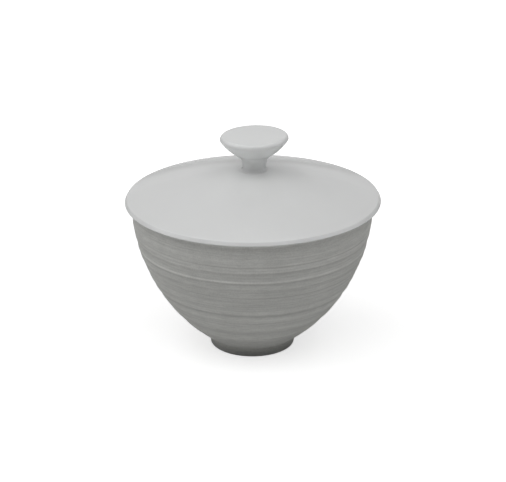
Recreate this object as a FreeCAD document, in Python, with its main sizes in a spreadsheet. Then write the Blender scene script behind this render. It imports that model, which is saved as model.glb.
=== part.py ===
"""A lidded porcelain bowl: an open bowl on a turned foot ring, a shallow domed lid, and the
flared finger knob that is luted onto the lid.

The frame has +Z up, with its origin at the centre of the foot ring's resting plane.
All sizes are in millimetres and are driven by the spreadsheet "Sizes".
"""

import FreeCAD, Part
import math
import os

import Sketcher

SIZES = {
    # Bowl, measured from the table up
    "bowl_height": 74.6,
    "rim_radius": 59.1,
    "wall_thickness": 3.05,
    "wall_arc_radius": 89.8,
    "floor_height": 9.6,
    "rim_round": 1.2,
    # Foot ring of the bowl
    "foot_radius": 20.7,
    "foot_top_radius": 21.25,
    "foot_height": 5.0,
    "foot_inner_radius": 16.9,
    "foot_recess": 4.4,
    "foot_round": 0.8,
    "shoulder_radius": 21.95,
    # Lid, measured from the plane where it rests on the bowl's rim
    "lid_radius": 62.5,
    "lid_edge_break": 0.4,
    "lid_edge_height": 2.15,
    "lid_edge_inset": 1.0,
    "lid_edge_round": 0.9,
    "lid_height": 16.0,
    "lid_crown_radius": 320.0,
    "lid_thickness": 4.0,
    "flange_depth": 5.0,
    "flange_width": 2.7,
    "flange_clearance": 1.2,
    "flange_round": 0.8,
    "flange_root_rise": 0.9,
    # Knob, measured from its seat on the lid
    "knob_seat_radius": 7.5,
    "knob_offset": 0.9,
    "knob_foot_radius": 6.3,
    "neck_radius": 5.65,
    "neck_height": 1.6,
    "flare_arc_radius": 7.6,
    "flare_swell_radius": 27.0,
    "flare_radius": 16.6,
    "flare_height": 15.4,
    "knob_edge_arc_radius": 2.2,
    "knob_edge_round": 0.8,
    "crown_radius": 15.5,
    "crown_height": 17.4,
    "knob_height": 17.8,
}

LEFT, RIGHT = 1, -1  # the side of the way on which an arc's centre lies
START, END, CENTRE = 1, 2, 3  # Sketcher's numbers for the points of an edge
LEVEL_AXIS, UPRIGHT_AXIS = -1, -2  # Sketcher's numbers for a sketch's own two axes
ORIGIN = (-1, 1)  # Sketcher's numbers for a sketch's origin
SAME = 1e-6


class Size:
    """A length that carries both its value and the spreadsheet expression that gives it."""

    def __init__(self, value, text):
        self.value = value
        self.text = text

    def __add__(self, other):
        return Size(self.value + other.value, f"{self.text} + {other.text}")

    def __sub__(self, other):
        return Size(self.value - other.value, f"{self.text} - ({other.text})")


ZERO = Size(0.0, "0")


def size(name):
    """The driving dimension of that name."""
    return Size(SIZES[name], f"Sizes.{name}")


def fill_sheet(doc):
    """The spreadsheet: a name in column A, and its value with the same alias in column B."""
    sheet = doc.addObject("Spreadsheet::Sheet", "Sizes")
    for row, (name, value) in enumerate(SIZES.items(), start=1):
        sheet.set(f"A{row}", name)
        sheet.set(f"B{row}", str(value))
        sheet.setAlias(f"B{row}", name)


def new_body(doc, name):
    """An empty body whose label names its file."""
    body = doc.addObject("PartDesign::Body", name)
    body.Label = name
    return body


def new_sketch(body):
    """An empty sketch on the body's upright XZ plane: x is the radius and y the height."""
    plane = next(p for p in body.Origin.OriginFeatures if p.Role == "XZ_Plane")
    sketch = body.newObject("Sketcher::SketchObject", body.Name + "_section")
    sketch.AttachmentSupport = [(plane, "")]
    sketch.MapMode = "FlatFace"
    return sketch


def arc_between(start, end, radius, side):
    """The arc of that radius from start to end, with its centre on that side of the way."""
    chord = end - start
    reach = math.sqrt(radius**2 - (chord.Length / 2) ** 2)
    centre = (start + end) * 0.5 + FreeCAD.Vector(-chord.y, chord.x, 0).normalize() * side * reach
    first, last = (start, end) if side == LEFT else (end, start)
    from_angle = math.atan2(first.y - centre.y, first.x - centre.x)
    to_angle = math.atan2(last.y - centre.y, last.x - centre.x)
    if to_angle < from_angle:
        to_angle += 2 * math.pi
    circle = Part.Circle(centre, FreeCAD.Vector(0, 0, 1), radius)
    return Part.ArcOfCircle(circle, from_angle, to_angle)


def bind(sketch, name, constraint, length):
    """Adds a named dimension to the sketch and ties it to its expression of the sheet."""
    index = sketch.addConstraint(constraint)
    sketch.renameConstraint(index, name)
    sketch.setExpression(f"Constraints.{name}", length.text)


def pin(sketch, name, point, radius, height):
    """Holds a point at its distance from the axis and at its height."""
    places = (("DistanceX", radius, UPRIGHT_AXIS), ("DistanceY", height, LEVEL_AXIS))
    for kind, length, axis in places:
        if length is ZERO:
            sketch.addConstraint(Sketcher.Constraint("PointOnObject", *point, axis))
        else:
            dimension = Sketcher.Constraint(kind, *ORIGIN, *point, length.value)
            bind(sketch, f"{name}_{kind}", dimension, length)


def draw_section(sketch, corners):
    """Draws a closed section from corners, each {name: (radius, height, way to the next corner)}.

    A way is None for a straight line, or (radius, side) for an arc, and the arc's radius is bound
    if it is a Size. At a corner whose name starts with "smooth" the two stretches are tangent,
    and its place is only a first guess. Returns {name: (edge, start point, end point)}."""
    names = list(corners)
    spots = [FreeCAD.Vector(radius.value, height.value) for radius, height, _ in corners.values()]
    edges = {}
    for i, (name, (_, _, way)) in enumerate(corners.items()):
        start, end = spots[i], spots[(i + 1) % len(spots)]
        if way is None:
            edge = sketch.addGeometry(Part.LineSegment(start, end))
            edges[name] = (edge, START, END)
            continue
        bend, side = way
        edge = sketch.addGeometry(arc_between(start, end, bend.value, side))
        edges[name] = (edge, START, END) if side == LEFT else (edge, END, START)
    for i, name in enumerate(names):
        edge, start, _ = edges[name]
        before, _, before_end = edges[names[i - 1]]
        radius, height, way = corners[name]
        smooth = name.startswith("smooth")
        kind = "Tangent" if smooth else "Coincident"
        sketch.addConstraint(Sketcher.Constraint(kind, before, before_end, edge, start))
        if not smooth:
            pin(sketch, name, (edge, start), radius, height)
        if way is not None and way[0].text:
            bend = Sketcher.Constraint("Radius", edge, way[0].value)
            bind(sketch, f"{name}_bend", bend, way[0])
    return edges


def guess(value):
    """A length that the sketch's other constraints settle."""
    return Size(value, "")


def centre_on_axis(sketch, arc):
    """Puts the centre of an arc on the upright axis, so that it turns into part of a sphere."""
    sketch.addConstraint(Sketcher.Constraint("PointOnObject", arc[0], CENTRE, UPRIGHT_AXIS))


def revolve(body, sketch):
    """Turns the section once round its upright axis."""
    solid = body.newObject("PartDesign::Revolution", body.Name + "_turned")
    solid.Profile = (sketch, [""])
    solid.ReferenceAxis = (sketch, ["V_Axis"])
    solid.Angle = 360.0
    body.Document.recompute()
    return solid


def rings(solid, circles):
    """The names of a turned solid's circular edges that have one of those (radius, height)s."""
    found = []
    for number, edge in enumerate(solid.Shape.Edges, start=1):
        if edge.Degenerated or edge.Curve.TypeId != "Part::GeomCircle":
            continue
        for radius, height in circles:
            same_radius = abs(edge.Curve.Radius - radius.value) < SAME
            same_height = abs(edge.Curve.Center.z - height.value) < SAME
            if same_radius and same_height:
                found.append(f"Edge{number}")
    if len(found) != len(circles):
        raise RuntimeError(f"{solid.Name}: {len(found)} of {len(circles)} rings found")
    return found


def round_off(body, solid, name, circles, radius):
    """Rounds those circular edges of the solid."""
    fillet = body.newObject("PartDesign::Fillet", name)
    fillet.Base = (solid, rings(solid, circles))
    fillet.setExpression("Radius", radius.text)
    body.Document.recompute()
    return fillet


def make_bowl(doc):
    """The bowl: one arc for its outside, a rounder inside, and a foot ring turned from its base."""
    body = new_body(doc, "bowl")
    sketch = new_sketch(body)
    top = size("bowl_height")
    rim_inside = size("rim_radius") - size("wall_thickness")
    wall_inside_arc = guess(SIZES["wall_arc_radius"] - SIZES["wall_thickness"])
    edges = draw_section(sketch, {
        "recess_centre": (ZERO, size("foot_recess"), None),
        "recess_edge": (size("foot_inner_radius"), size("foot_recess"), None),
        "foot_inside": (size("foot_inner_radius"), ZERO, None),
        "foot_outside": (size("foot_radius"), ZERO, None),
        "foot_top": (size("foot_top_radius"), size("foot_height"), None),
        "shoulder": (size("shoulder_radius"), size("foot_height"), (size("wall_arc_radius"), LEFT)),
        "rim_outside": (size("rim_radius"), top, None),
        "rim_inside": (rim_inside, top, (wall_inside_arc, RIGHT)),
        "smooth_inside": (guess(46.0), guess(38.0), (guess(52.0), RIGHT)),
        "floor_centre": (ZERO, size("floor_height"), None),
    })
    outer_wall = edges["shoulder"][0]
    inner_wall = edges["rim_inside"][0]
    sketch.addConstraint(Sketcher.Constraint("Coincident", inner_wall, CENTRE, outer_wall, CENTRE))
    centre_on_axis(sketch, edges["smooth_inside"])
    turned = revolve(body, sketch)
    rim = [(size("rim_radius"), top), (rim_inside, top)]
    foot = [(size("foot_radius"), ZERO), (size("foot_inner_radius"), ZERO)]
    rounded = round_off(body, turned, "bowl_rim_round", rim, size("rim_round"))
    round_off(body, rounded, "bowl_foot_round", foot, size("foot_round"))
    return body


def make_lid(doc):
    """The lid: a shallow dome that overhangs the rim, with a flange that drops inside the bowl."""
    body = new_body(doc, "lid")
    sketch = new_sketch(body)
    seat = size("flange_depth")
    flange_outside = size("rim_radius") - size("wall_thickness") - size("flange_clearance")
    flange_inside = flange_outside - size("flange_width")
    under_edge = size("lid_radius") - size("lid_edge_break")
    arris = size("lid_radius") - size("lid_edge_inset")
    arris_height = seat + size("lid_edge_height")
    top = seat + size("lid_height")
    edges = draw_section(sketch, {
        "under_centre": (ZERO, top - size("lid_thickness"), (guess(130.0), RIGHT)),
        "flange_root": (flange_inside, seat + size("flange_root_rise"), None),
        "flange_inside": (flange_inside, ZERO, None),
        "flange_outside": (flange_outside, ZERO, None),
        "seat_inside": (flange_outside, seat, None),
        "seat_outside": (under_edge, seat, None),
        "widest": (size("lid_radius"), seat + size("lid_edge_break"), None),
        "arris": (arris, arris_height, (size("lid_crown_radius"), LEFT)),
        "knob_seat": (size("knob_seat_radius"), top, None),
        "top_centre": (ZERO, top, None),
    })
    centre_on_axis(sketch, edges["under_centre"])
    turned = revolve(body, sketch)
    flange = [(flange_outside, ZERO), (flange_inside, ZERO)]
    rounded = round_off(body, turned, "lid_flange_round", flange, size("flange_round"))
    round_off(body, rounded, "lid_arris_round", [(arris, arris_height)], size("lid_edge_round"))
    body.setExpression("Placement.Base.z", "Sizes.bowl_height - Sizes.flange_depth")
    return body


def make_knob(doc):
    """The knob: a short neck that opens into a wide, swelling flare with a crowned top."""
    body = new_body(doc, "knob")
    sketch = new_sketch(body)
    edges = draw_section(sketch, {
        "foot_centre": (ZERO, ZERO, None),
        "foot_edge": (size("knob_foot_radius"), ZERO, None),
        "neck": (size("neck_radius"), size("neck_height"), (size("flare_arc_radius"), RIGHT)),
        "smooth_flare": (guess(10.3), guess(8.8), (size("flare_swell_radius"), LEFT)),
        "edge_under": (size("flare_radius"), size("flare_height"),
                       (size("knob_edge_arc_radius"), LEFT)),
        "edge_top": (size("crown_radius"), size("crown_height"), (guess(300.0), LEFT)),
        "top_centre": (ZERO, size("knob_height"), None),
    })
    flare, neck_point, _ = edges["neck"]
    sketch.addConstraint(Sketcher.Constraint("Horizontal", flare, CENTRE, flare, neck_point))
    centre_on_axis(sketch, edges["edge_top"])
    turned = revolve(body, sketch)
    arris = (size("crown_radius"), size("crown_height"))
    round_off(body, turned, "knob_edge_round", [arris], size("knob_edge_round"))
    body.setExpression("Placement.Base.x", "Sizes.knob_offset")
    body.setExpression("Placement.Base.z", "Sizes.bowl_height + Sizes.lid_height")
    return body


def check(doc, bodies):
    """Stops if anything in the document failed or a body has no sound solid."""
    for item in doc.Objects:
        if "Invalid" in item.State or "Error" in item.State:
            raise RuntimeError(f"{item.Name} failed: {item.State}")
    for body in bodies:
        if body.Shape.isNull() or not body.Shape.isValid() or len(body.Shape.Solids) != 1:
            raise RuntimeError(f"{body.Label} isn't one valid solid")


def main():
    doc = FreeCAD.newDocument("lidded_bowl")
    fill_sheet(doc)
    doc.recompute()
    bodies = [make_bowl(doc), make_lid(doc), make_knob(doc)]
    doc.recompute()
    check(doc, bodies)
    os.makedirs("parts", exist_ok=True)
    for body in bodies:
        body.Shape.exportStep(f"parts/{body.Label}.step")


main()
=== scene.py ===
"""Looks of the lidded porcelain bowl: a matt, turned bowl with a glazed inside, a glazed lid
whose flange drops into the bowl, and the knob that is luted onto the lid.

The object's lengths are in millimetres, and MM turns them into metres where a mesh or material
is made. The floor, lights and camera round it are placed in metres.
"""

import math

import bpy
import numpy as np
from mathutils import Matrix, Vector


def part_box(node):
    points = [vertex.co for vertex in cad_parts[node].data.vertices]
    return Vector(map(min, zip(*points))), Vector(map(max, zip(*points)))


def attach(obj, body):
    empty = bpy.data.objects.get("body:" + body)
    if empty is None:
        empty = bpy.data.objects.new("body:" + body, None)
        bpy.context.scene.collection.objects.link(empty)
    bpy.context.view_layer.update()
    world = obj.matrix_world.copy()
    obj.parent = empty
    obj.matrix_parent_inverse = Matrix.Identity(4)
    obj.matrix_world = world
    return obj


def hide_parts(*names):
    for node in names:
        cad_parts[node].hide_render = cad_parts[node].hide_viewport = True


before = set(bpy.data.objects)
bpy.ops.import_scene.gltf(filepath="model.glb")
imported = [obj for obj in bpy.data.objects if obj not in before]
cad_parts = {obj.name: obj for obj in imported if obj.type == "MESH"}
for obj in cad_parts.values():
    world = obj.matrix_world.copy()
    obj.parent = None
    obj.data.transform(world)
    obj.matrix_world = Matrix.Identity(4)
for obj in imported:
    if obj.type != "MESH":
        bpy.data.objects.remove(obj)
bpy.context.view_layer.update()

MM = 0.001
SEGMENTS = 240  # corners round the bowl and the lid
KNOB_SEGMENTS = 180
LEFT, RIGHT = 1, -1  # the side of the way on which an arc's centre lies

# ------------------------------------------------------------ sizes that the frame gives
_, bowl_high = (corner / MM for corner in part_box("bowl"))
lid_low, lid_high = (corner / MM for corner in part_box("lid"))
knob_low, knob_high = (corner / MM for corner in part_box("knob"))

BOWL_HEIGHT = bowl_high.z
LID_RADIUS = lid_high.x
LID_TOP = lid_high.z
FLANGE_END = lid_low.z
KNOB_X = (knob_low.x + knob_high.x) / 2
KNOB_TOP = knob_high.z

# ------------------------------------------------- sizes that the boxes don't show, in mm
RIM_RADIUS = 59.1
RIM_THICKNESS = 3.05
RIM_ROUND = 1.2
WALL_BEND = 89.8
FLOOR_BEND = 52.18
FLOOR_HEIGHT = 9.6
SHOULDER_RADIUS = 21.95
SHOULDER_ROUND = 0.4
FOOT_HEIGHT = 5.0
FOOT_TOP_RADIUS = 21.25
FOOT_RADIUS = 20.7
FOOT_INNER_RADIUS = 16.9
FOOT_RECESS = 4.4
FOOT_ROUND = 0.8
RECESS_ROUND = 1.0

LID_EDGE_BREAK = 0.4
LID_EDGE_ROUND = 0.35
LID_EDGE_INSET = 1.0
LID_EDGE_HEIGHT = 2.15
LID_ARRIS_RADIUS = LID_RADIUS - LID_EDGE_INSET
LID_ARRIS_HEIGHT = BOWL_HEIGHT + LID_EDGE_HEIGHT
LID_ARRIS_ROUND = 0.9
LID_CROWN_BEND = 320.0
LID_THICKNESS = 4.0
FLANGE_CLEARANCE = 1.2
FLANGE_WIDTH = 2.7
FLANGE_ROUND = 0.8
FLANGE_OUTSIDE = RIM_RADIUS - RIM_THICKNESS - FLANGE_CLEARANCE
FLANGE_INSIDE = FLANGE_OUTSIDE - FLANGE_WIDTH
FLANGE_ROOT = BOWL_HEIGHT + 0.9
FLANGE_ROOT_ROUND = 1.5  # inside the flange
FLANGE_SEAT_ROUND = 0.5  # outside the flange
SEAT_RADIUS = 7.5
SEAT_ROUND = 2.0

KNOB_ROOT = 0.6  # the hidden end of the knob goes this far down into the lid
KNOB_FILLET = 1.3  # the glaze rounds the corner between the knob and the lid
KNOB_SINK = 0.03  # the fillet starts this far down in the lid, so that it meets it softly
NECK_RADIUS = 5.65
NECK_HEIGHT = LID_TOP + 1.6
FLARE_BEND = 7.6
FLARE_SWELL = 27.0
FLARE_RADIUS = 16.6
FLARE_HEIGHT = LID_TOP + 15.4
KNOB_EDGE_BEND = 2.2
KNOB_EDGE_ROUND = 0.8
KNOB_CROWN_RADIUS = 15.5
KNOB_CROWN_HEIGHT = LID_TOP + 17.4

MATT, GLAZE = 0, 1  # material slots of a turned mesh


# ------------------------------------------------------------------------------ outlines
NO_ROUND = 0  # the stretch runs smoothly on into the next one
ROUND_STEPS = 6  # strips across a rounded corner
ROUND_MARGIN = 1.05  # points closer to a corner than this many times the reach are left out


def point(radius, height):
    """A place in the half plane that is turned round the axis."""
    return np.array((radius, height), float)


def unit(way):
    return way / np.linalg.norm(way)


def arc_centre(start, end, bend, side):
    """The centre of the arc of radius bend from start to end, on that side of the way."""
    chord = end - start
    reach = math.sqrt(bend**2 - chord @ chord / 4)
    return (start + end) / 2 + unit(point(-chord[1], chord[0])) * side * reach


def where_circles_cross(first, first_radius, second, second_radius):
    """Where two circles cross, on the left of the way from the first centre to the second."""
    apart = np.linalg.norm(second - first)
    along = (first_radius**2 - second_radius**2 + apart**2) / (2 * apart)
    way = unit(second - first)
    side = math.sqrt(first_radius**2 - along**2)
    return first + way * along + point(-way[1], way[0]) * side


def line(start, end, spacing):
    """Points from start to end, no further apart than the spacing."""
    count = max(1, math.ceil(np.linalg.norm(end - start) / spacing))
    return np.linspace(start, end, count + 1)


def arc(start, end, bend, side, spacing):
    """Points along the arc of radius bend from start to end, its centre on that side."""
    centre = arc_centre(start, end, bend, side)
    first, last = (math.atan2(*(p - centre)[::-1]) for p in (start, end))
    sweep = (last - first) % (2 * math.pi) if side == LEFT else -((first - last) % (2 * math.pi))
    angles = np.linspace(first, first + sweep, max(1, math.ceil(abs(sweep) * bend / spacing)) + 1)
    return centre + bend * np.stack([np.cos(angles), np.sin(angles)], axis=1)


def rounding(into, corner, out, radius, steps):
    """The arc of that radius that rounds a corner between two directions, and its reach."""
    turn = math.acos(max(-1.0, min(1.0, float(into @ out))))
    reach = radius * math.tan(turn / 2)
    t = np.linspace(0, 1, steps + 1)[:, None]
    weights = (1 - t) ** 2, 2 * t * (1 - t) * math.cos(turn / 2), t**2
    knots = corner - into * reach, corner, corner + out * reach
    blend = sum(weight * knot for weight, knot in zip(weights, knots)) / sum(weights)
    return blend, reach


def outline(stretches):
    """Joins stretches, each (points, slot, radius that rounds the corner at its end).

    Returns the points and the material slot of the strip that follows each. The spacing is
    finer where a stretch bends tightly, and on the wall, which carries the relief."""
    points, slots = [], []
    trimmed = 0.0
    for i, (stretch, slot, radius) in enumerate(stretches):
        corner = stretch[-1]
        keep = np.linalg.norm(stretch - stretch[0], axis=1) >= trimmed
        following = stretches[i + 1][0] if i + 1 < len(stretches) else None
        if following is None or not radius:
            body = stretch[keep] if following is None else stretch[keep][:-1]
            points.append(body)
            slots += [slot] * len(body)
            trimmed = 0.0
            continue
        into, out = unit(corner - stretch[-2]), unit(following[1] - following[0])
        blend, reach = rounding(into, corner, out, radius, ROUND_STEPS)
        keep &= np.linalg.norm(stretch - corner, axis=1) > reach * ROUND_MARGIN
        points += [stretch[keep], blend]
        slots += [slot] * (keep.sum() + len(blend))
        trimmed = reach * ROUND_MARGIN
    return np.concatenate(points), slots


def bowl_outline():
    """From under the foot's recess, up the outside, over the rim and down the inside."""
    recess = point(FOOT_INNER_RADIUS, FOOT_RECESS)
    foot_inside, foot_outside = point(FOOT_INNER_RADIUS, 0), point(FOOT_RADIUS, 0)
    foot_top = point(FOOT_TOP_RADIUS, FOOT_HEIGHT)
    shoulder = point(SHOULDER_RADIUS, FOOT_HEIGHT)
    rim_outside = point(RIM_RADIUS, BOWL_HEIGHT)
    rim_inside = point(RIM_RADIUS - RIM_THICKNESS, BOWL_HEIGHT)
    wall_centre = arc_centre(shoulder, rim_outside, WALL_BEND, LEFT)
    floor_centre = point(0, FLOOR_HEIGHT + FLOOR_BEND)
    inner_bend = np.linalg.norm(rim_inside - wall_centre)
    smooth = floor_centre + unit(floor_centre - wall_centre) * FLOOR_BEND
    return outline([
        (line(point(0, FOOT_RECESS), recess, 1.5), MATT, RECESS_ROUND),
        (line(recess, foot_inside, 0.7), MATT, FOOT_ROUND),
        (line(foot_inside, foot_outside, 0.7), MATT, FOOT_ROUND),
        (line(foot_outside, foot_top, 0.5), MATT, SHOULDER_ROUND),
        (line(foot_top, shoulder, 0.4), MATT, SHOULDER_ROUND),
        (arc(shoulder, rim_outside, WALL_BEND, LEFT, 0.28), MATT, RIM_ROUND),
        (line(rim_outside, rim_inside, 0.5), MATT, RIM_ROUND),
        (arc(rim_inside, smooth, inner_bend, RIGHT, 1.4), GLAZE, NO_ROUND),
        (arc(smooth, point(0, FLOOR_HEIGHT), FLOOR_BEND, RIGHT, 1.6), GLAZE, NO_ROUND),
    ])


def lid_outline():
    """From under the lid's centre, round the flange and the edge, and up the dome.

    The end of the flange is bare clay."""
    root = point(FLANGE_INSIDE, FLANGE_ROOT)
    flange_inside = point(FLANGE_INSIDE, FLANGE_END)
    flange_outside = point(FLANGE_OUTSIDE, FLANGE_END)
    seat = point(FLANGE_OUTSIDE, BOWL_HEIGHT)
    under_edge = point(LID_RADIUS - LID_EDGE_BREAK, BOWL_HEIGHT)
    widest = point(LID_RADIUS, BOWL_HEIGHT + LID_EDGE_BREAK)
    arris = point(LID_ARRIS_RADIUS, LID_ARRIS_HEIGHT)
    knob_seat = point(SEAT_RADIUS, LID_TOP)
    under_centre = point(0, LID_TOP - LID_THICKNESS)
    rise = under_centre[1] - root[1]
    under_bend = (root[0] ** 2 + rise**2) / (2 * rise)
    return outline([
        (arc(under_centre, root, under_bend, RIGHT, 1.6), GLAZE, FLANGE_ROOT_ROUND),
        (line(root, flange_inside, 0.7), GLAZE, FLANGE_ROUND),
        (line(flange_inside, flange_outside, 0.5), MATT, FLANGE_ROUND),
        (line(flange_outside, seat, 0.7), GLAZE, FLANGE_SEAT_ROUND),
        (line(seat, under_edge, 0.8), GLAZE, LID_EDGE_ROUND),
        (line(under_edge, widest, 0.2), GLAZE, LID_EDGE_ROUND),
        (line(widest, arris, 0.3), GLAZE, LID_ARRIS_ROUND),
        (arc(arris, knob_seat, LID_CROWN_BEND, LEFT, 0.8), GLAZE, SEAT_ROUND),
        (line(knob_seat, point(0, LID_TOP), 0.8), GLAZE, NO_ROUND),
    ])


def knob_outline():
    """From under the knob's foot, up the fillet, neck and flare, and over the crowned top."""
    foot = point(NECK_RADIUS + KNOB_FILLET, LID_TOP - KNOB_SINK)
    fillet_top = point(NECK_RADIUS, LID_TOP - KNOB_SINK + KNOB_FILLET)
    hidden = point(foot[0], LID_TOP - KNOB_ROOT)
    neck = point(NECK_RADIUS, NECK_HEIGHT)
    edge_under = point(FLARE_RADIUS, FLARE_HEIGHT)
    edge_top = point(KNOB_CROWN_RADIUS, KNOB_CROWN_HEIGHT)
    flare_centre = neck + point(FLARE_BEND, 0)
    swell_centre = where_circles_cross(flare_centre, FLARE_BEND + FLARE_SWELL, edge_under, FLARE_SWELL)
    smooth = flare_centre + unit(swell_centre - flare_centre) * FLARE_BEND
    rise = KNOB_TOP - KNOB_CROWN_HEIGHT
    crown_bend = (KNOB_CROWN_RADIUS**2 + rise**2) / (2 * rise)
    return outline([
        (line(point(0, hidden[1]), hidden, 1.2), GLAZE, NO_ROUND),
        (line(hidden, foot, 0.6), GLAZE, NO_ROUND),
        (arc(foot, fillet_top, KNOB_FILLET, RIGHT, 0.2), GLAZE, NO_ROUND),
        (line(fillet_top, neck, 0.3), GLAZE, NO_ROUND),
        (arc(neck, smooth, FLARE_BEND, RIGHT, 0.4), GLAZE, NO_ROUND),
        (arc(smooth, edge_under, FLARE_SWELL, LEFT, 0.4), GLAZE, NO_ROUND),
        (arc(edge_under, edge_top, KNOB_EDGE_BEND, LEFT, 0.25), GLAZE, KNOB_EDGE_ROUND),
        (arc(edge_top, point(0, KNOB_TOP), crown_bend, LEFT, 0.8), GLAZE, NO_ROUND),
    ])


# -------------------------------------------------------------------------------- meshes
def ring_grid(points, segments):
    """Radius, height and angle of every corner of the rings that an outline turns into."""
    angles = np.arange(segments) * 2 * math.pi / segments
    radius, angle = np.meshgrid(points[:, 0], angles, indexing="ij")
    return radius, np.repeat(points[:, 1:], segments, axis=1), angle


def join_ends(rings):
    """Lists what each vertex has, with one vertex for each end ring, which lies on the axis."""
    return np.concatenate([rings[:1, 0], rings[1:-1].reshape(-1, *rings.shape[2:]), rings[-1:, 0]])


def turned(name, points, slots, segments, materials, shape):
    """A closed mesh turned from an outline whose two ends lie on the axis.

    shape moves the rings: it gets arrays of radius, height and angle and returns x, y and z."""
    vertices = join_ends(np.stack(shape(*ring_grid(points, segments)), axis=-1))
    last = len(points) - 1

    def corner(ring, step):
        """Number of a vertex. Each end of the outline is one vertex on the axis."""
        if ring == 0:
            return 0
        if ring == last:
            return len(vertices) - 1
        return 1 + (ring - 1) * segments + step % segments

    faces, face_slots = [], []
    for ring in range(last):
        for step in range(segments):
            lower = [corner(ring, step), corner(ring, step + 1)]
            upper = [corner(ring + 1, step + 1), corner(ring + 1, step)]
            faces.append(list(dict.fromkeys(lower + upper)))
            face_slots.append(slots[ring])
    mesh = bpy.data.meshes.new(name)
    mesh.from_pydata(vertices * MM, [], faces)
    for material in materials:
        mesh.materials.append(material)
    mesh.polygons.foreach_set("material_index", face_slots)
    mesh.polygons.foreach_set("use_smooth", [True] * len(faces))
    mesh.update()
    thing = bpy.data.objects.new(name, mesh)
    bpy.context.scene.collection.objects.link(thing)
    return thing


def upright(radius, height, angle):
    """Places on rings that stand true."""
    return radius * np.cos(angle), radius * np.sin(angle), height


# ------------------------------------------------------------------------------- relief
PAINTED_SHADE_ATTRIBUTE = "painted_shade"  # the mesh attribute that the bowl's material reads: painted shade and painted light
PAINTED_SLOPE_SHADES = (1.0, 0.24)  # painted shade: share of brightness lost per unit of slope, at the foot and rim; where the slope is negative, over a crest, it is painted light

# Painted shade and light on the clay: heights in mm, and the share of brightness lost there. The foot
# is painted darker towards where it stands, as a painted contact shadow, and the clay is painted paler
# under the rim, as painted light against the lid's shadow.
PAINTED_SHADE_HEIGHTS = (0.0, 2.5, 4.0, 8.0, 58.0, 66.0, 72.0, 74.0)
PAINTED_SHADE_LOSSES = (0.38, 0.20, -0.02, 0.0, 0.0, -0.07, -0.09, -0.18)

# The turning crests on the bowl's outside: height, rise, and reach below and above, in mm.
# Another program made these numbers, by a least-squares fit, and seven of the rises were
# lowered afterwards. Crests read off by eye should replace them.
CRESTS = (
    (65.7, 0.14, 2.6, 0.6),
    (62.6, 0.14, 0.3, 1.0),
    (60.9, 0.14, 1.2, 0.8),
    (59.5, 0.20, 1.3, 0.6),
    (53.5, 0.24, 0.8, 0.8),
    (49.5, 0.27, 1.6, 4.0),
    (45.1, 0.16, 0.4, 2.4),
    (43.0, 0.12, 1.6, 2.0),
    (40.7, 0.08, 0.7, 0.6),
    (38.7, 0.22, 2.0, 1.8),
    (34.4, 0.37, 1.3, 1.9),
    (29.2, 0.27, 2.6, 1.5),
    (22.5, 0.32, 2.3, 4.0),
    (14.5, 0.22, 2.6, 4.0),
)
CREST_WANDER = 0.12  # how far a crest strays up and down on its way round
CREST_SEED = 5

# Many fine crests lie among them. Each gap, rise and reach, in mm, is drawn from a range.
FINE_CREST_MARGIN = 3.0  # from the foot and from the rim
FINE_CREST_GAPS = (0.6, 1.5)
FINE_CREST_RISES = (-0.01, 0.04)
FINE_CREST_REACHES = (0.25, 0.45)
FINE_CREST_WANDER = 0.08

# There is no relief in a gap at the foot and at the rim, and it grows in over the fade.
RELIEF_FOOT_GAP, RELIEF_FOOT_FADE = 1.0, 4.0
RELIEF_RIM_GAP, RELIEF_RIM_FADE = 1.5, 2.0
ON_ARC = 0.05  # a point this close to the outside's arc lies on it


def crest_relief(height, angle):
    """How far the turning crests stand out of the wall, in mm, at those heights and angles."""
    random = np.random.RandomState(CREST_SEED)
    relief = np.zeros_like(height)

    def one_crest(place, rise, below, above, wander):
        """The relief of one crest. It wanders and its strength varies on the way round."""
        slow, quick, swell = random.uniform(0, 2 * math.pi, 3)
        crest = place + wander * (np.sin(angle + slow) + 0.5 * np.sin(3 * angle + quick))
        strength = 1 + 0.2 * np.sin(2 * angle + swell)
        reach = np.where(height < crest, below, above)
        return rise * strength * np.exp(-(((height - crest) / reach) ** 2))

    for place, rise, below, above in CRESTS:
        relief += one_crest(place, rise, below, above, CREST_WANDER)
    place = FOOT_HEIGHT + FINE_CREST_MARGIN
    while place < BOWL_HEIGHT - FINE_CREST_MARGIN:
        place += random.uniform(*FINE_CREST_GAPS)
        rise = random.uniform(*FINE_CREST_RISES)
        reach = random.uniform(*FINE_CREST_REACHES)
        relief += one_crest(place, rise, reach, reach, FINE_CREST_WANDER)
    return relief


def on_wall(radius, height):
    """The centre of the outside's arc, and how far the relief applies: 0 off the wall, 1 on it."""
    shoulder, rim = point(SHOULDER_RADIUS, FOOT_HEIGHT), point(RIM_RADIUS, BOWL_HEIGHT)
    centre = arc_centre(shoulder, rim, WALL_BEND, LEFT)
    off_arc = np.abs(np.hypot(radius - centre[0], height - centre[1]) - WALL_BEND)
    from_foot = np.clip((height - FOOT_HEIGHT - RELIEF_FOOT_GAP) / RELIEF_FOOT_FADE, 0, 1)
    from_rim = np.clip((BOWL_HEIGHT - RELIEF_RIM_GAP - height) / RELIEF_RIM_FADE, 0, 1)
    return centre, np.where(off_arc < ON_ARC, from_foot * from_rim, 0.0)


def bowl_shape(radius, height, angle):
    """Adds the turning relief to the outside of the wall."""
    centre, share = on_wall(radius, height)
    relief = crest_relief(height, angle) * share
    out, up = (radius - centre[0]) / WALL_BEND, (height - centre[1]) / WALL_BEND
    return warped(*upright(radius + relief * out, height + relief * up, angle))


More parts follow.
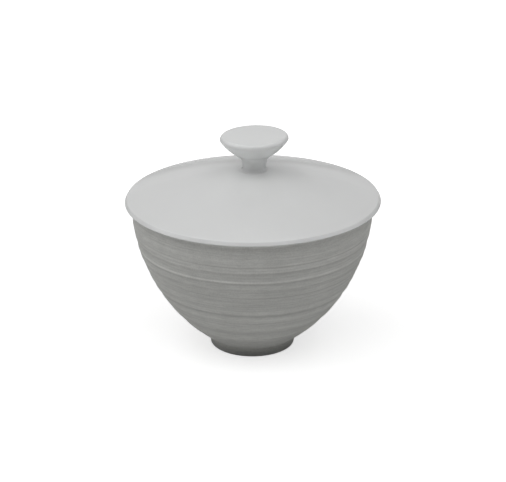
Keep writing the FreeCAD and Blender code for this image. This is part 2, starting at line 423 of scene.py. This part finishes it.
def add_painted_shade(bowl, points):
    """Stores the painted shade and painted light for the material, as the share of brightness the clay
    loses at every vertex: darker under each crest and towards the foot's bottom, lighter over each
    crest and under the rim.
    """
    radius, height, angle = ring_grid(points, SEGMENTS)
    step = 0.12  # mm up and down, over which the slope is taken
    rise = crest_relief(height + step, angle) - crest_relief(height - step, angle)
    slope = rise / (2 * step) * on_wall(radius, height)[1]
    # painted shade under each crest, where the wall faces down, and painted light over it, where it
    # faces up
    shade = slope * np.interp(height, (FOOT_HEIGHT, BOWL_HEIGHT), PAINTED_SLOPE_SHADES)
    # painted contact shadow at the foot, painted light under the rim
    shade += np.interp(height, PAINTED_SHADE_HEIGHTS, PAINTED_SHADE_LOSSES)
    stored = bowl.data.attributes.new(PAINTED_SHADE_ATTRIBUTE, "FLOAT", "POINT")
    stored.data.foreach_set("value", join_ends(shade))


def lid_surface(radius):
    """Height of the lid's dome at that radius."""
    arris, knob_seat = point(LID_ARRIS_RADIUS, LID_ARRIS_HEIGHT), point(SEAT_RADIUS, LID_TOP)
    centre = arc_centre(arris, knob_seat, LID_CROWN_BEND, LEFT)
    dome = centre[1] + np.sqrt(LID_CROWN_BEND**2 - (radius - centre[0]) ** 2)
    return np.minimum(dome, LID_TOP)


WARP = math.tan(math.radians(0.38))  # in the kiln the rim and the lid rose towards +X
WARP_START = 45.0  # below this height the bowl stands true
LID_SHIFT = 0.25  # the lid sits this far off centre, within the flange's clearance
KNOB_LEAN = math.tan(math.radians(1.1))  # the knob's rim leans further, over an upright neck


def warped(x, y, z):
    """The kiln's warp: none in the lower wall, growing to its full slope at the rim."""
    share = np.clip((z - WARP_START) / (BOWL_HEIGHT - WARP_START), 0, 1)
    return x, y, z + WARP * x * share


def lid_shape(radius, height, angle):
    """Shifts the lid a little to the side, and warps it with the rim."""
    x, y, z = upright(radius, height, angle)
    return warped(x + LID_SHIFT, y, z)


def knob_shape(radius, height, angle):
    """Moves the knob to its place, settles its foot on the dome and leans its rim."""
    x, y, z = upright(radius, height, angle)
    share = np.clip((height - NECK_HEIGHT) / (FLARE_HEIGHT - NECK_HEIGHT), 0, 1)
    x = x + KNOB_X
    z = z + KNOB_LEAN * (x - KNOB_X) * share
    settle = np.clip((NECK_HEIGHT - height) / (NECK_HEIGHT - LID_TOP), 0, 1)
    z = z + (lid_surface(np.hypot(x - LID_SHIFT, y)) - LID_TOP) * settle
    return warped(x, y, z)


# ----------------------------------------------------------------------------- materials
CLAY_COLOUR = (0.728, 0.730, 0.700)
GLAZE_COLOUR = (0.880, 0.890, 0.885)
NOISE_LOW, NOISE_HIGH = 0.3, 0.7  # the usual range of a noise value


def new_material(name):
    """A material with the usual surface node, and its node tree's nodes and links."""
    material = bpy.data.materials.new(name)
    material.use_nodes = True
    return material, material.node_tree.nodes, material.node_tree.links


def noise(nodes, links, scale, detail=2.0, roughness=0.5):
    """A noise texture over the object's own coordinates. scale is (x, y, z) features a metre."""
    place = nodes.new("ShaderNodeTexCoord")
    stretch = nodes.new("ShaderNodeMapping")
    stretch.inputs["Scale"].default_value = scale
    texture = nodes.new("ShaderNodeTexNoise")
    texture.inputs["Scale"].default_value = 1.0
    texture.inputs["Detail"].default_value = detail
    texture.inputs["Roughness"].default_value = roughness
    links.new(place.outputs["Object"], stretch.inputs["Vector"])
    links.new(stretch.outputs["Vector"], texture.inputs["Vector"])
    return texture.outputs["Fac"]


def spread(nodes, links, value, low, high):
    """Maps a noise value's usual range onto low to high, and keeps the result between them."""
    mapped = nodes.new("ShaderNodeMapRange")
    mapped.inputs["From Min"].default_value = NOISE_LOW
    mapped.inputs["From Max"].default_value = NOISE_HIGH
    mapped.inputs["To Min"].default_value = low
    mapped.inputs["To Max"].default_value = high
    links.new(value, mapped.inputs["Value"])
    return mapped.outputs["Result"]


def product(nodes, links, first, second):
    """Two values multiplied."""
    multiply = nodes.new("ShaderNodeMath")
    multiply.operation = "MULTIPLY"
    links.new(first, multiply.inputs[0])
    links.new(second, multiply.inputs[1])
    return multiply.outputs[0]


def tinted(nodes, links, colour, brightness):
    """A colour whose brightness a value drives."""
    scale = nodes.new("ShaderNodeVectorMath")
    scale.operation = "SCALE"
    scale.inputs[0].default_value = colour
    links.new(brightness, scale.inputs["Scale"])
    return scale.outputs["Vector"]


def bump(nodes, links, height, distance, below=None):
    """A bump of that many millimetres, on top of another bump if one is given."""
    node = nodes.new("ShaderNodeBump")
    node.inputs["Strength"].default_value = 1.0
    node.inputs["Distance"].default_value = distance * MM
    links.new(height, node.inputs["Height"])
    if below is not None:
        links.new(below, node.inputs["Normal"])
    return node.outputs["Normal"]


def painted_shade_tone(nodes, links):
    """Brightness left after the painted shade and light that the bowl's mesh stores."""
    shade = nodes.new("ShaderNodeAttribute")
    shade.attribute_name = PAINTED_SHADE_ATTRIBUTE
    tone = nodes.new("ShaderNodeMath")
    tone.operation = "SUBTRACT"
    tone.inputs[0].default_value = 1.0
    links.new(shade.outputs["Fac"], tone.inputs[1])
    return tone.outputs[0]


def matt_porcelain():
    """Unglazed porcelain: dry and even, with fine turning lines, a sandy grain, and the painted shade
    and light that the bowl's mesh stores.
    """
    material, nodes, links = new_material("matt_porcelain")
    surface = nodes["Principled BSDF"]
    lines = noise(nodes, links, (30, 30, 1300), detail=3.0)
    streaks = noise(nodes, links, (170, 170, 1000))
    cloud = noise(nodes, links, (60, 60, 90))
    grain = noise(nodes, links, (1500, 1500, 1500), detail=3.0, roughness=0.7)
    # painted shade and light from the bowl's mesh
    brightness = painted_shade_tone(nodes, links)
    for pattern, low, high in (
        (lines, 0.945, 1.045),
        (streaks, 0.94, 1.05),
        (cloud, 0.98, 1.02),
        (grain, 0.91, 1.08),
    ):
        brightness = product(nodes, links, brightness, spread(nodes, links, pattern, low, high))
    links.new(tinted(nodes, links, CLAY_COLOUR, brightness), surface.inputs["Base Color"])
    links.new(spread(nodes, links, grain, 0.75, 0.95), surface.inputs["Roughness"])
    lines_bump = bump(nodes, links, lines, 0.06)
    links.new(bump(nodes, links, grain, 0.02, lines_bump), surface.inputs["Normal"])
    surface.inputs["Specular IOR Level"].default_value = 0.35
    return material


def white_glaze():
    """Clear glaze on white porcelain: smooth, softly shining, uneven, faintly translucent."""
    material, nodes, links = new_material("white_glaze")
    surface = nodes["Principled BSDF"]
    cloud = noise(nodes, links, (22, 22, 22), detail=3.0)
    ripple = noise(nodes, links, (110, 110, 110))
    peel = noise(nodes, links, (900, 900, 900), detail=1.0)
    brightness = spread(nodes, links, cloud, 0.985, 1.01)
    links.new(tinted(nodes, links, GLAZE_COLOUR, brightness), surface.inputs["Base Color"])
    links.new(spread(nodes, links, cloud, 0.16, 0.26), surface.inputs["Roughness"])
    ripple_bump = bump(nodes, links, ripple, 0.02)
    links.new(bump(nodes, links, peel, 0.001, ripple_bump), surface.inputs["Normal"])
    surface.inputs["Subsurface Weight"].default_value = 0.45
    surface.inputs["Subsurface Scale"].default_value = 5 * MM
    surface.inputs["Subsurface Radius"].default_value = (1.0, 1.0, 1.0)
    surface.inputs["Coat Weight"].default_value = 0.3
    surface.inputs["Coat Roughness"].default_value = 0.08
    return material


# -------------------------------------------------------------------------------- pieces
matt, glaze = matt_porcelain(), white_glaze()
bowl_points, bowl_slots = bowl_outline()
bowl = turned("bowl_turned", bowl_points, bowl_slots, SEGMENTS, (matt, glaze), bowl_shape)
# painted shade and light for the bowl's clay
add_painted_shade(bowl, bowl_points)
lid = turned("lid_glazed", *lid_outline(), SEGMENTS, (matt, glaze), lid_shape)
knob = turned("knob_glazed", *knob_outline(), KNOB_SEGMENTS, (matt, glaze), knob_shape)
for piece, node, body, slot in (
    (bowl, "bowl", "bowl", "matt_porcelain"),
    (lid, "lid", "lid", "white_glaze"),
    (knob, "knob", "lid", "white_glaze"),
):
    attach(piece, body)
    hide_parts(node)


# --------------------------------------------------------------------------------- stage
FLOOR_REACH = 12.0  # metres from the middle to an edge
FLOOR_TONE = 0.70
WHITE_FROM = 0.6  # metres from the middle: from here on the camera sees a white floor
LIGHT_AIM = Vector((0, 0, 60 * MM))
LIGHT_DISTANCE = 1.2  # metres
CAMERA_AIM = Vector((0.32 * MM, 0, 53.13 * MM))
CAMERA_ELEVATION = 21.55  # degrees above level
CAMERA_DISTANCE = 1.0  # metres
CAMERA_LENS = 144.63  # focal length in mm
CAMERA_SENSOR = 36.0  # width in mm


def constant(nodes, number):
    """A number as a value that links can carry."""
    value = nodes.new("ShaderNodeValue")
    value.outputs[0].default_value = number
    return value.outputs[0]


def glow(nodes, links, seen, reflected):
    """A strength for what the camera sees, another for reflections, and none for light cast."""
    path = nodes.new("ShaderNodeLightPath")
    strength = product(nodes, links, path.outputs["Is Glossy Ray"], constant(nodes, reflected))
    choice = nodes.new("ShaderNodeMix")
    links.new(path.outputs["Is Camera Ray"], choice.inputs["Factor"])
    links.new(strength, choice.inputs["A"])
    links.new(seen, choice.inputs["B"])
    return choice.outputs["Result"]


def whiter_outwards(nodes, links, near, far):
    """A value that rises from near, under the bowl, to far, at WHITE_FROM and beyond."""
    place = nodes.new("ShaderNodeNewGeometry")
    distance = nodes.new("ShaderNodeVectorMath")
    distance.operation = "LENGTH"
    links.new(place.outputs["Position"], distance.inputs[0])
    mapped = nodes.new("ShaderNodeMapRange")
    mapped.inputs["From Max"].default_value = WHITE_FROM
    mapped.inputs["To Min"].default_value = near
    mapped.inputs["To Max"].default_value = far
    links.new(distance.outputs["Value"], mapped.inputs["Value"])
    return mapped.outputs["Result"]


def stage_floor():
    """A large, plain, pale floor. It glows, so that the camera sees it white round its shadows."""
    mesh = bpy.data.meshes.new("floor")
    reach = FLOOR_REACH
    corners = [(-reach, -reach, 0), (reach, -reach, 0), (reach, reach, 0), (-reach, reach, 0)]
    mesh.from_pydata(corners, [], [(0, 1, 2, 3)])
    material, nodes, links = new_material("floor")
    surface = nodes["Principled BSDF"]
    surface.inputs["Base Color"].default_value = (FLOOR_TONE, FLOOR_TONE, FLOOR_TONE, 1)
    surface.inputs["Roughness"].default_value = 1.0
    surface.inputs["Specular IOR Level"].default_value = 0.0
    surface.inputs["Emission Color"].default_value = (1, 1, 1, 1)
    seen = whiter_outwards(nodes, links, near=0.66, far=1.1)
    links.new(glow(nodes, links, seen, reflected=0.28), surface.inputs["Emission Strength"])
    mesh.materials.append(material)
    floor = bpy.data.objects.new("floor", mesh)
    bpy.context.scene.collection.objects.link(floor)


def sky():
    """A white background. The glaze reflects it, and it casts no light of its own."""
    world = bpy.data.worlds.new("studio")
    world.use_nodes = True
    nodes, links = world.node_tree.nodes, world.node_tree.links
    background = nodes["Background"]
    background.inputs["Color"].default_value = (1, 1, 1, 1)
    strength = glow(nodes, links, constant(nodes, 1.0), reflected=0.71)
    links.new(strength, background.inputs["Strength"])
    bpy.context.scene.world = world


def add_aimed(name, data, aim, azimuth, elevation, distance):
    """Adds a light or camera that faces its aim. Azimuth 0 is the front and 90 the right.

    Both angles are in degrees."""
    turn, lift = math.radians(azimuth), math.radians(elevation)
    level = math.cos(lift)
    away = Vector((math.sin(turn) * level, -math.cos(turn) * level, math.sin(lift)))
    thing = bpy.data.objects.new(name, data)
    thing.location = aim + away * distance
    thing.rotation_euler = away.to_track_quat("Z", "Y").to_euler()
    bpy.context.scene.collection.objects.link(thing)
    return thing


def softbox(name, azimuth, elevation, width, depth, power):
    """A large area light, width by depth metres, of that many watts."""
    data = bpy.data.lights.new(name, "AREA")
    data.shape = "RECTANGLE"
    data.size, data.size_y = width, depth
    data.energy = power
    light = add_aimed(name, data, LIGHT_AIM, azimuth, elevation, LIGHT_DISTANCE)
    light.visible_camera = False


def add_camera():
    """Looks at the bowl from the front, a little from above, through a long lens."""
    data = bpy.data.cameras.new("camera")
    data.sensor_width = CAMERA_SENSOR
    data.lens = CAMERA_LENS
    camera = add_aimed("camera", data, CAMERA_AIM, 0, CAMERA_ELEVATION, CAMERA_DISTANCE)
    bpy.context.scene.camera = camera


stage_floor()
sky()
softbox("top", 0, 90, 1.4, 1.4, 2.6)
softbox("front", 0, 60, 1.6, 1.0, 5.6)
softbox("left", -90, 45, 1.2, 1.2, 4.6)
softbox("right", 90, 45, 1.2, 1.2, 2.55)
add_camera()
bpy.context.scene.view_settings.view_transform = "Standard"
